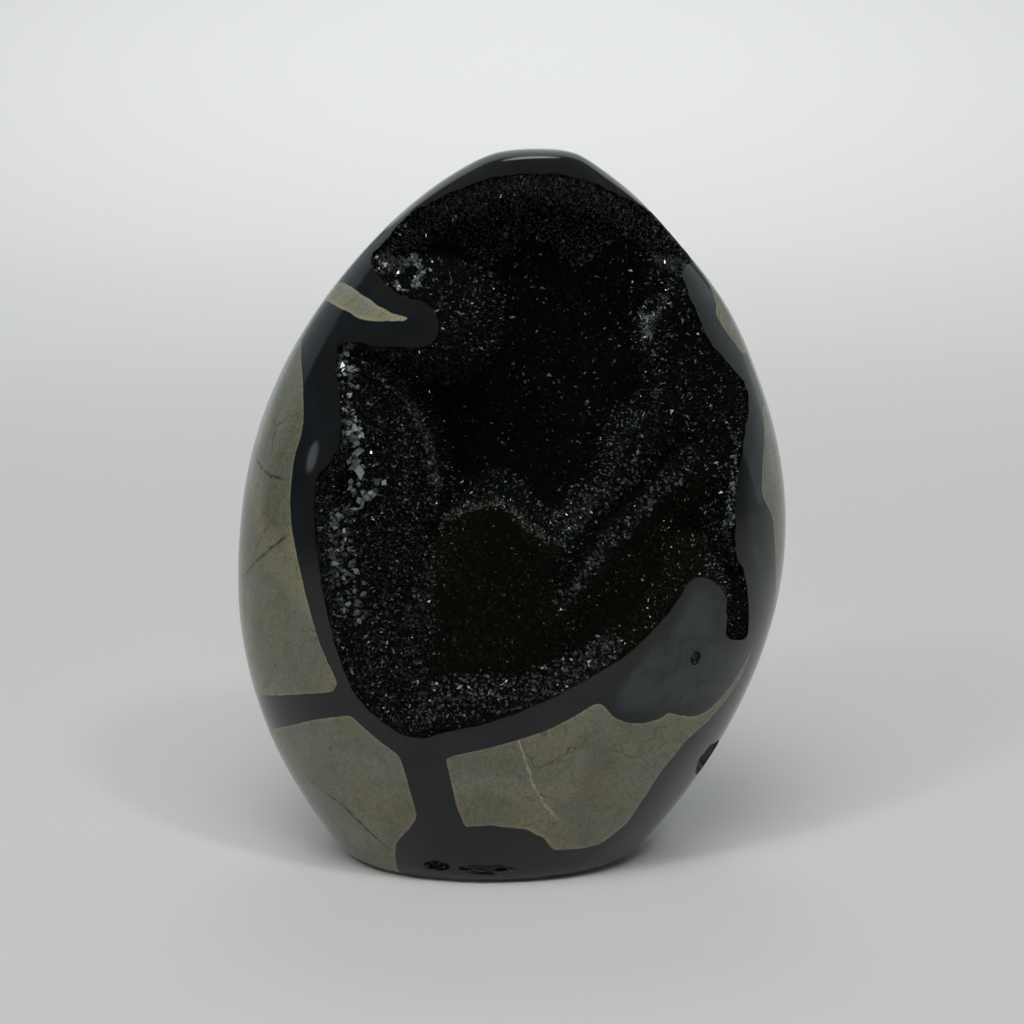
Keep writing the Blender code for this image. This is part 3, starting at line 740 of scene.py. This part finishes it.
def zone_of(points):
    """Which part of the hollow each (x, z) lies in."""
    x, z = points.T
    deep = depth_inside(points, DEEP_LINE) > 0.5
    below_ridge = z < 59 + 0.95 * np.maximum(x - 10, 0)
    on_mound = (x < 9) | below_ridge & (x < 39)
    zone = np.where(x < -15.5, "left_lobe", np.where(on_mound, "mound", "right_wall"))
    # Left of this line, under the shelf, the deep part's crystals get darker tones, painted shade.
    left_of_deep = x < -5 + 2 * np.sin(z / 3)
    # Above this height the deep part's crystals get greyer tones, painted light.
    at_top = z > 128 + 3 * np.sin(x / 3)
    deep_zone = np.where(at_top, "painted_lit_top", np.where(left_of_deep, "painted_shade_behind_shelf", "deep"))
    return np.where(deep, deep_zone, zone)


# Shader nodes.


def add(tree, kind, inputs=None, **settings):
    """A node whose inputs are given as numbers, colours or other nodes' sockets."""
    item = tree.nodes.new(kind)
    for name, value in settings.items():
        setattr(item, name, value)
    for name, value in (inputs or {}).items():
        socket = item.inputs[name]
        if isinstance(value, bpy.types.NodeSocket):
            tree.links.new(value, socket)
        elif socket.type == "RGBA" and len(value) == 3:
            socket.default_value = (*value, 1)
        else:
            socket.default_value = value
    return item


def blend(tree, factor, low, high, way="MIX"):
    """One colour or another, by a factor."""
    mixer = add(tree, "ShaderNodeMix", {0: factor, 6: low, 7: high}, data_type="RGBA", blend_type=way)
    return mixer.outputs[2]


def reckon(tree, operation, *values):
    return add(tree, "ShaderNodeMath", dict(enumerate(values)), operation=operation).outputs[0]


def span(tree, value, low, high, start=0.0, end=1.0):
    """A smooth change from start to end while the value goes from low to high."""
    inputs = {"Value": value, "From Min": low, "From Max": high, "To Min": start, "To Max": end}
    return add(tree, "ShaderNodeMapRange", inputs, interpolation_type="SMOOTHSTEP").outputs["Result"]


def speckle_group():
    """Noise whose lumps have a size in millimetres."""
    group = bpy.data.node_groups.new("speckle", "ShaderNodeTree")
    for name in ("Size", "Detail", "Roughness", "Distortion"):
        group.interface.new_socket(name, in_out="INPUT", socket_type="NodeSocketFloat")
    group.interface.new_socket("Value", in_out="OUTPUT", socket_type="NodeSocketFloat")
    given = add(group, "NodeGroupInput").outputs
    inputs = {"Vector": add(group, "ShaderNodeTexCoord").outputs["Object"],
              "Scale": reckon(group, "DIVIDE", 1 / MM, given["Size"]),
              "Detail": given["Detail"], "Roughness": given["Roughness"], "Distortion": given["Distortion"]}
    noise_node = add(group, "ShaderNodeTexNoise", inputs)
    add(group, "NodeGroupOutput", {"Value": noise_node.outputs["Fac"]})
    return group


def speckle(tree, size, detail=3.0, roughness=0.5, distortion=0.0):
    item = add(tree, "ShaderNodeGroup", node_tree=bpy.data.node_groups.get("speckle") or speckle_group())
    given = {"Size": size, "Detail": detail, "Roughness": roughness, "Distortion": distortion}
    for name, value in given.items():
        item.inputs[name].default_value = value
    return item.outputs["Value"]


def marked(tree, name):
    return add(tree, "ShaderNodeAttribute", attribute_name=name).outputs["Fac"]


def new_material(name, colour):
    material = bpy.data.materials.new(name)
    material.use_nodes = True
    material.diffuse_color = (*colour, 1)
    return material, material.node_tree, material.node_tree.nodes["Principled BSDF"]


def connect(tree, shader, **sockets):
    for name, value in sockets.items():
        socket = shader.inputs[name.replace("_", " ")]
        if isinstance(value, bpy.types.NodeSocket):
            tree.links.new(value, socket)
        else:
            socket.default_value = value


def hairlines(tree):
    """A factor that darkens a few broken hairlines in the mudstone."""
    place = add(tree, "ShaderNodeTexCoord").outputs["Object"]
    bend = reckon(tree, "MULTIPLY_ADD", speckle(tree, 8.0, 3.0), 0.012, -0.006)
    place = add(tree, "ShaderNodeVectorMath", {0: place, 1: bend}, operation="ADD").outputs[0]
    inputs = {"Vector": place, "Scale": 1 / (17 * MM)}
    cells = add(tree, "ShaderNodeTexVoronoi", inputs, feature="DISTANCE_TO_EDGE")
    line = span(tree, cells.outputs["Distance"], 0.0, 0.012, 1.0, 0.0)
    shows = span(tree, speckle(tree, 12.0, 3.0, 0.6), 0.45, 0.6, 0.0, 0.55)
    return reckon(tree, "SUBTRACT", 1.0, reckon(tree, "MULTIPLY", line, shows))


def polished_stone():
    """Mudstone panels and calcite veins under one polish."""
    material, tree, shader = new_material("polished_stone", (0.1, 0.1, 0.08))
    wander = reckon(tree, "MULTIPLY_ADD", speckle(tree, 3.0, 4.0, 0.6), 0.5, -0.25)
    panel = reckon(tree, "ADD", marked(tree, "panel"), wander)
    is_mud = span(tree, panel, -0.1, 0.1)

    beds = span(tree, speckle(tree, 13.0, 4.0, 0.6), 0.38, 0.62)
    mud = blend(tree, beds, (0.118, 0.122, 0.09), (0.14, 0.125, 0.08))
    mud = blend(tree, span(tree, speckle(tree, 9.0, 3.0, 0.6, 2.5), 0.5, 0.66), mud, (0.098, 0.112, 0.066))
    mud = blend(tree, span(tree, speckle(tree, 5.0, 5.0, 0.65, 3.0), 0.55, 0.75), mud, (0.15, 0.15, 0.125))
    mud = blend(tree, span(tree, speckle(tree, 2.6, 4.0, 0.7), 0.6, 0.74), mud, (0.075, 0.06, 0.035))
    grain = span(tree, speckle(tree, 0.6, 4.0, 0.75), 0.25, 0.75, 0.72, 1.28)
    pale = reckon(tree, "ADD", marked(tree, "pale"), 1.0)
    bright = reckon(tree, "MULTIPLY", grain, pale)
    cloudy = span(tree, speckle(tree, 18.0, 2.0, 0.5, 1.0), 0.3, 0.7, 0.88, 1.12)
    bright = reckon(tree, "MULTIPLY", bright, cloudy)
    bright = reckon(tree, "MULTIPLY", bright, span(tree, panel, 0.0, 0.9, 1.3, 1.0))
    bright = reckon(tree, "MULTIPLY", bright, hairlines(tree))
    bright = add(tree, "ShaderNodeCombineColor", {0: bright, 1: bright, 2: bright}).outputs[0]
    mud = blend(tree, 1.0, mud, bright, "MULTIPLY")

    cloud = span(tree, reckon(tree, "ADD", marked(tree, "cloud"), wander), -1.5, 2.5)
    wisps = span(tree, speckle(tree, 7.0, 5.0, 0.6, 1.0), 0.3, 0.65, 0.35, 1.0)
    cloud = reckon(tree, "MULTIPLY", cloud, wisps)
    bluer = span(tree, speckle(tree, 9.0, 5.0, 0.6), 0.35, 0.65)
    vein = blend(tree, bluer, (0.0035, 0.0045, 0.005), (0.0065, 0.009, 0.011))
    vein = blend(tree, cloud, vein, (0.022, 0.03, 0.031))
    vein = blend(tree, span(tree, speckle(tree, 1.6, 3.0), 0.68, 0.76, 0.0, 0.6), vein, (0.003, 0.003, 0.003))
    vein = blend(tree, span(tree, panel, -0.9, -0.1, 0.0, 0.6), vein, (0.003, 0.004, 0.005))
    brown = span(tree, marked(tree, "from_rim"), 0.5, 4.0, 0.7, 0.0)
    vein = blend(tree, brown, vein, (0.007, 0.006, 0.005))

    wobble = reckon(tree, "MULTIPLY_ADD", speckle(tree, 1.8, 3.0, 0.6), 0.9, -0.45)
    off_crack = reckon(tree, "ABSOLUTE", reckon(tree, "ADD", marked(tree, "crack"), wobble))
    thickness = span(tree, speckle(tree, 1.5, 3.0), 0.35, 0.65, 0.1, 0.38)
    is_crack = span(tree, reckon(tree, "DIVIDE", off_crack, thickness), 0.7, 1.4, 1.0, 0.0)
    is_crack = reckon(tree, "MULTIPLY", is_crack, marked(tree, "crack_strength"))
    crack = blend(tree, marked(tree, "crack_pale"), (0.02, 0.016, 0.01), (0.24, 0.23, 0.16))
    mud = blend(tree, reckon(tree, "MULTIPLY", is_crack, 0.85), mud, crack)

    dull = reckon(tree, "MULTIPLY_ADD", speckle(tree, 22.0, 3.0), 0.1, 0.03)
    roughness = reckon(tree, "MULTIPLY_ADD", is_mud, 0.09, dull)
    pitted = span(tree, marked(tree, "panel"), 0.0, 0.3, 0.0, 0.1)
    height = reckon(tree, "MULTIPLY_ADD", speckle(tree, 0.5, 1.0), pitted, speckle(tree, 16.0, 0.0))
    bump = add(tree, "ShaderNodeBump", {"Height": height, "Distance": 0.00006, "Strength": 1.0})
    connect(tree, shader, Base_Color=blend(tree, is_mud, vein, mud), Roughness=roughness,
            Normal=bump.outputs[0], IOR=1.42)
    return material


def rough_vein():
    """Unpolished calcite, on the step under the rim and in the chips."""
    material, tree, shader = new_material("rough_vein", (0.01, 0.01, 0.01))
    pale = span(tree, speckle(tree, 0.9), 0.4, 0.65)
    colour = blend(tree, pale, (0.003, 0.003, 0.003), (0.011, 0.0105, 0.0095))
    bump = add(tree, "ShaderNodeBump", {"Height": speckle(tree, 0.8, 4.0, 0.6), "Distance": 0.0004})
    connect(tree, shader, Base_Color=colour, Roughness=0.35, Normal=bump.outputs[0])
    return material


def crystal_faces(name, gloss):
    """Crystal faces, brown to black to pale by their tone."""
    material, tree, shader = new_material(name, (0.01, 0.01, 0.01))
    tone = marked(tree, "tone")
    colour = blend(tree, span(tree, tone, -1.0, 0.0), (0.007, 0.0072, 0.003), (0.0035, 0.0052, 0.005))
    colour = blend(tree, span(tree, tone, 0.2, 1.0), colour, (0.045, 0.05, 0.05))
    colour = blend(tree, span(tree, tone, 1.0, 2.0), colour, (0.2, 0.225, 0.225))
    roughness = span(tree, speckle(tree, 2.0, 0.0), 0.3, 0.7, 0.06, 0.24)
    connect(tree, shader, Base_Color=colour, Roughness=roughness, Specular_IOR_Level=gloss)
    return material


def crust_bed():
    """What shows between the crystals."""
    material, tree, shader = new_material("crust_bed", (0.005, 0.005, 0.005))
    connect(tree, shader, Base_Color=(0.003, 0.0027, 0.0025, 1), Roughness=1.0, Specular_IOR_Level=0.0)
    return material


# The studio.

PIXEL = 0.2101  # what one pixel of the view spans at the nodule's middle
IMAGE = 1024
SENSOR = 36.0
DISTANCE = 650.0
ELEVATION = 10.0
AIM = (0.0, 0.0, 74.03)
COVE = (1000.0, 3500.0, 16)  # radius of the flat floor, radius of the cove round it, steps of the cove
# Softboxes: name, direction from the nodule (round from the front, up), distance, size, power, spread and
# colour.
SOFTBOXES = [
    ("key", (-6, 52), 2000, 1400, 3.6, 60, (1.0, 0.99, 0.97)),
    ("glint", (-86, 12), 900, 90, 0.03, 180, (0.8, 0.9, 1.0)),
    ("spark_left", (-30, 35), 1300, 140, 0.25, 60, (1.0, 1.0, 1.0)),
    ("spark_right", (28, 45), 1300, 140, 0.25, 60, (1.0, 1.0, 1.0)),
    ("spark_low", (5, 8), 1300, 140, 0.2, 60, (1.0, 1.0, 1.0)),
    ("back", (180, 28), 2200, 1900, 5.0, 180, (0.95, 0.98, 1.0)),
    ("back_right", (126, 14), 1000, 850, 0.5, 180, (0.85, 0.95, 1.0)),
    ("back_left", (-136, 10), 1000, 800, 0.4, 180, (0.85, 0.95, 1.0)),
]
# The light on the backdrop: where it is, where it points, size, spread and power.
BACKDROP_LIGHT = ((0, 1500, 2000), (0, 1750, 0), 1200, 95, 10.0)


def floor():
    """A pale floor that runs up into a round wall."""
    radius, bend, steps = COVE
    shape = bmesh.new()
    profile = [shape.verts.new((0, 0, 0)), shape.verts.new((radius * MM, 0, 0))]
    for step in range(1, steps + 1):
        angle = step / steps * math.pi / 2
        profile.append(shape.verts.new(
            ((radius + bend * math.sin(angle)) * MM, 0, (bend - bend * math.cos(angle)) * MM)))
    edges = [shape.edges.new(pair) for pair in zip(profile, profile[1:])]
    bmesh.ops.spin(shape, geom=profile + edges, cent=(0, 0, 0), axis=(0, 0, 1), angle=2 * math.pi, steps=96,
                   use_merge=True)
    bmesh.ops.remove_doubles(shape, verts=shape.verts, dist=1e-6)
    bmesh.ops.recalc_face_normals(shape, faces=shape.faces)
    material, tree, shader = new_material("pale_floor", (0.67, 0.68, 0.67))
    connect(tree, shader, Base_Color=(0.67, 0.68, 0.67, 1), Roughness=1.0, Specular_IOR_Level=0.0)
    item = finished_object("floor", shape, [material])
    item.data.shade_smooth()


def aimed(item, place, target):
    """Places a light or the camera and turns it to its target."""
    item.location = Vector(place) * MM
    item.rotation_euler = (Vector(place) - Vector(target)).to_track_quat("Z", "Y").to_euler()
    bpy.context.scene.collection.objects.link(item)


def away(angles, distance):
    """A place in a direction from the point that the camera looks at."""
    return Vector(AIM) + Vector(directions([angles])[0]) * distance


def softbox(name, place, target, size, power, spread, colour):
    data = bpy.data.lights.new(name, "AREA")
    data.shape = "DISK"
    data.size = size * MM
    data.energy = power
    data.spread = math.radians(spread)
    data.color = colour
    aimed(bpy.data.objects.new(name, data), place, target)


def studio():
    floor()
    scene = bpy.context.scene
    world = bpy.data.worlds.new("studio")
    world.use_nodes = True
    background = world.node_tree.nodes["Background"]
    background.inputs["Color"].default_value = (0.88, 0.96, 1.0, 1)
    background.inputs["Strength"].default_value = 0.14
    scene.world = world
    for name, angles, distance, size, power, spread, colour in SOFTBOXES:
        softbox(name, away(angles, distance), AIM, size, power, spread, colour)
    place, target, size, spread, power = BACKDROP_LIGHT
    softbox("backdrop_light", place, target, size, power, spread, (1.0, 1.0, 1.0))
    camera = bpy.data.cameras.new("camera")
    camera.sensor_width = SENSOR
    camera.lens = SENSOR * DISTANCE / (IMAGE * PIXEL)
    viewer = bpy.data.objects.new("camera", camera)
    aimed(viewer, away((0, ELEVATION), DISTANCE), AIM)
    scene.camera = viewer
    scene.view_settings.view_transform = "Standard"


# The pieces.

def ride_as_crust(piece):
    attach(piece, "root")
    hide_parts("crystal_crust")


def make_stone(table):
    materials = [polished_stone(), rough_vein()]
    stone = egg_shape("stone", EGG_STEPS, materials)
    cutter = grid_block("hollow", WALL_PITCH, lambda p: np.full(len(p), -WIDTH),
                        lambda p: back_of_crust(p, table), materials)
    combine(cutter, rim_prism(0.0, materials), "INTERSECT")
    for number, (middle, half_sizes) in enumerate(CHIPS):
        combine(cutter, chip_shape(number, middle, half_sizes, materials), "UNION")
    cutter.data.polygons.foreach_set("material_index", [1] * len(cutter.data.polygons))
    combine(stone, cutter, "DIFFERENCE")
    mark_pattern(stone.data)
    stone.data.shade_smooth()
    stone.data.set_sharp_from_angle(angle=math.radians(32))
    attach(stone, "root")
    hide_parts("nodule")


def make_crust(table):
    materials = [crust_bed(), crust_bed()]
    bed = grid_block("crystal_bed", BED_PITCH, crystal_front,
                     lambda p: back_of_crust(p, table) + BED_OVERLAP, materials, BED_EDGE)
    limit = egg_shape("limit", LIMIT_STEPS, materials, inset=BED_INSET)
    combine(limit, rim_prism(BED_OVERLAP, materials), "INTERSECT")
    combine(bed, limit, "INTERSECT")
    ride_as_crust(bed)

    chance = np.random.default_rng(11)
    crystals = [crystal_faces("dull_crystal", 0.15), crystal_faces("glossy_crystal", 0.5)]
    triangles, facing = open_side(bed)
    middles = triangles.mean(1)[:, [0, 2]]
    zones = zone_of(middles)
    for zone, (density, widths, lengths, lean, tones, brighter) in SMALL_CRYSTALS.items():
        spots, normals = scatter(triangles[zones == zone], facing[zones == zone], density, chance)
        width = chance.uniform(*widths, len(spots))
        length = width * chance.uniform(*lengths, len(spots))
        tone = chance.uniform(*tones, len(spots))
        tone = np.where(chance.random(len(spots)) < brighter, chance.uniform(*BRIGHTER, len(spots)), tone)
        piece = crystal_piece(f"{zone}_crystals", steep_point(), spots, normals, width, length, lean, tone,
                              crystals, chance)
        ride_as_crust(piece)

    rows = []
    for line, reach, density, widths, tones in SEAMS:
        near = distance_to_line(middles, line) < reach
        spots, normals = scatter(triangles[near], facing[near], density, chance)
        width = chance.uniform(*widths, len(spots))
        length = width * chance.uniform(*LARGER_LENGTHS, len(spots))
        rows.append(np.column_stack([spots, normals, width, length, chance.uniform(*tones, len(spots))]))
    rows = np.concatenate(rows)
    widths, lengths, tones = rows[:, 6:].T
    piece = crystal_piece("larger_crystals", rhombohedron(), rows[:, :3], rows[:, 3:6], widths, lengths,
                          LARGER_LEAN, tones, crystals, chance)
    ride_as_crust(piece)


crust_back = depth_table()
make_stone(crust_back)
make_crust(crust_back)
studio()
